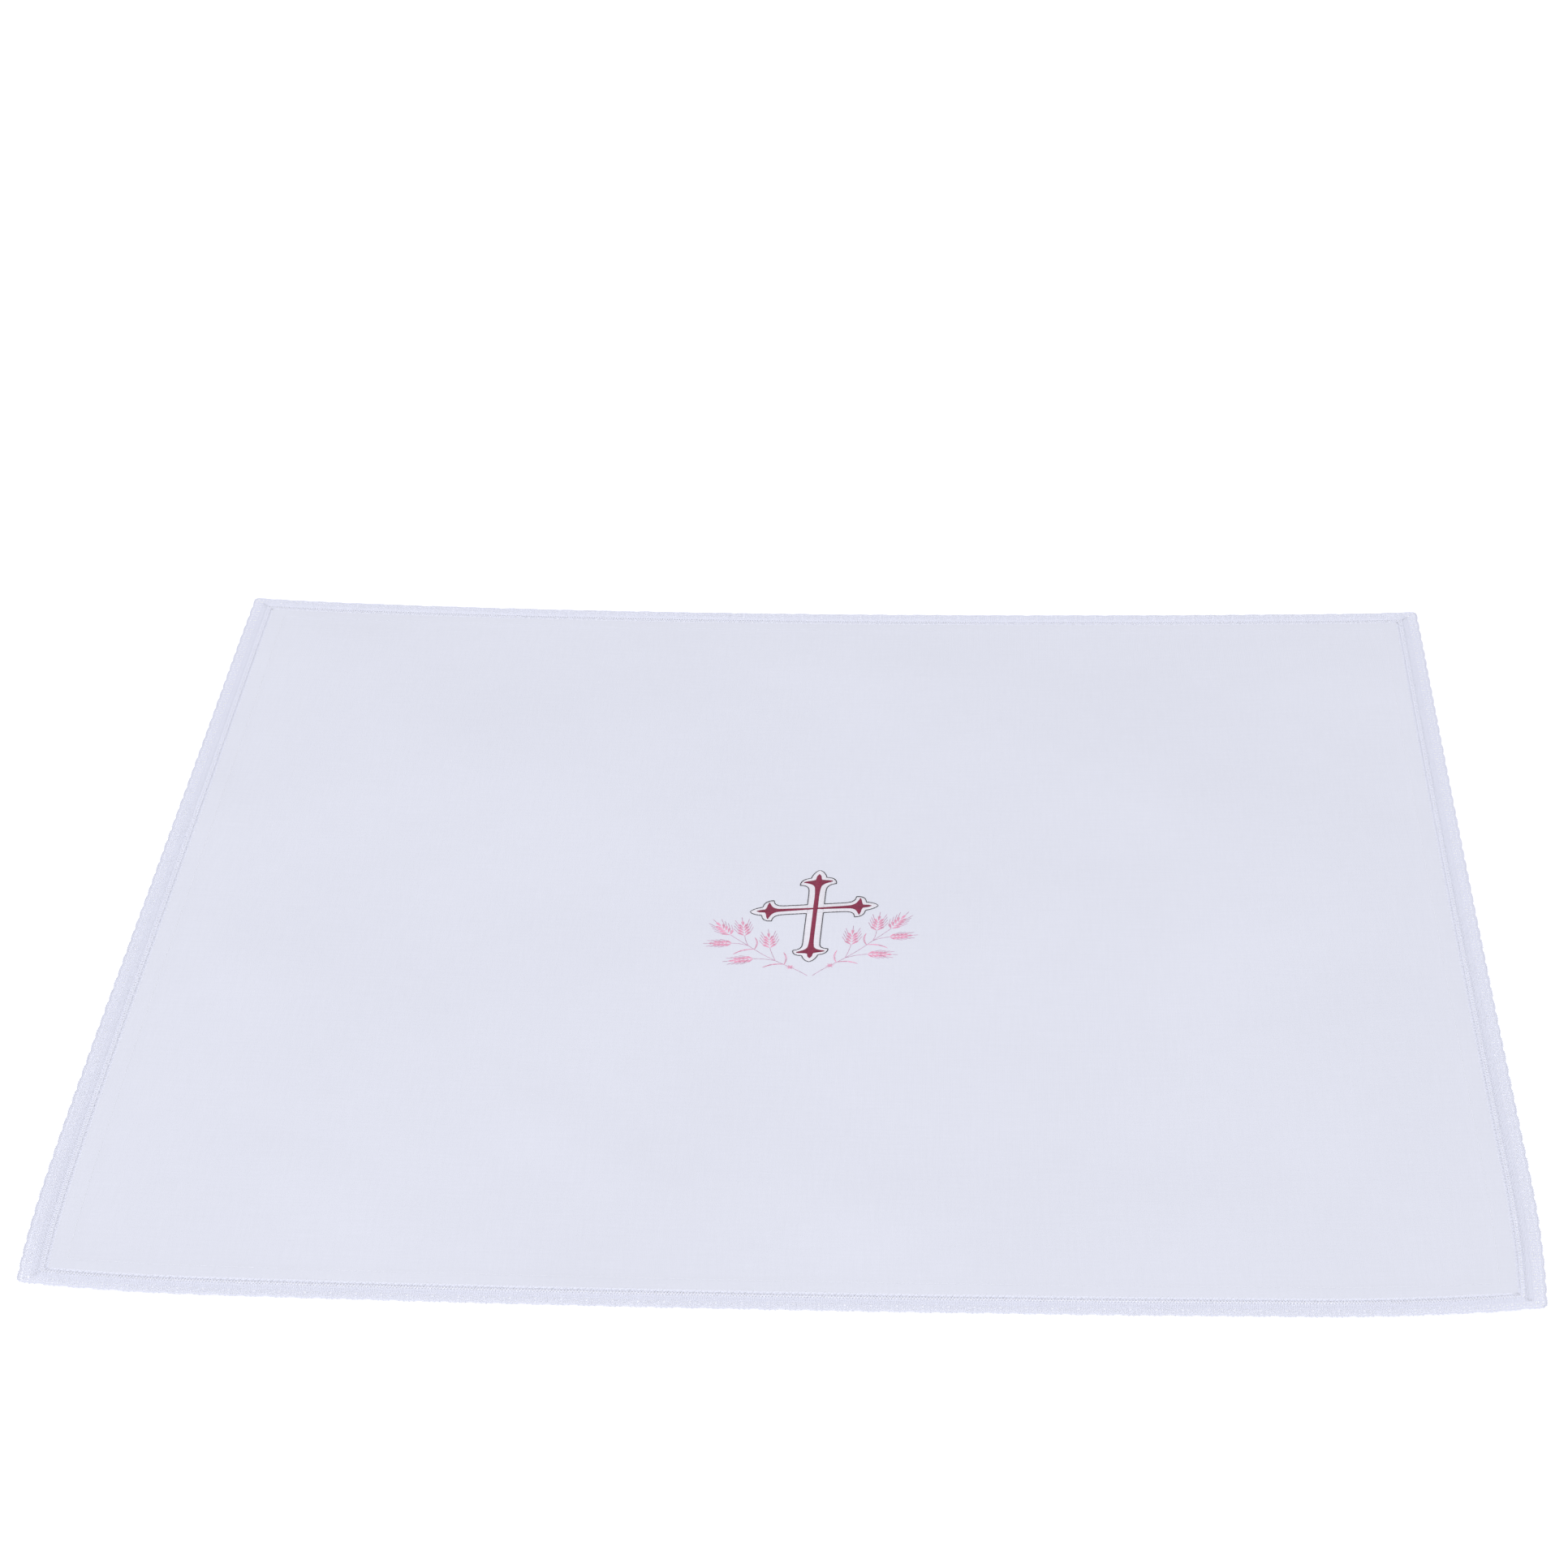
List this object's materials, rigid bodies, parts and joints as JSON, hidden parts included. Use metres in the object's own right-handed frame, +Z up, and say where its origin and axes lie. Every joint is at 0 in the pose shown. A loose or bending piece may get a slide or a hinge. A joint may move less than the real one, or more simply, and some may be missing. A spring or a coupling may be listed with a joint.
{
  "type": "altar cloth",
  "caption": "Square white linen altar cloth with a turned hem, mitred lace edging and an embroidered cross between wheat sprays, lying flat.",
  "frame": {"origin": "on the table, under the middle of the cloth's outline", "axes": "+Z up from the table, +X to the cloth's right and +Y to its back, the way the cross stands"},
  "size_m": [0.5022, 0.5029, 0.0038],
  "materials": {
    "white_linen": "plain weave, ironed, matt",
    "white_cotton_lace": "bobbin lace of white cotton thread, matt",
    "white_thread": "rayon embroidery and sewing thread, soft sheen",
    "wine_thread": "satin stitch in rayon thread, silky",
    "charcoal_thread": "running stitch in cotton thread, matt",
    "pink_thread": "satin stitch in rayon thread, silky"
  },
  "bodies": {
    "root": {"linen_panel": "white_linen", "lace_front": "white_cotton_lace", "lace_right": "white_cotton_lace", "lace_back": "white_cotton_lace", "lace_left": "white_cotton_lace"}
  },
  "joints": []
}
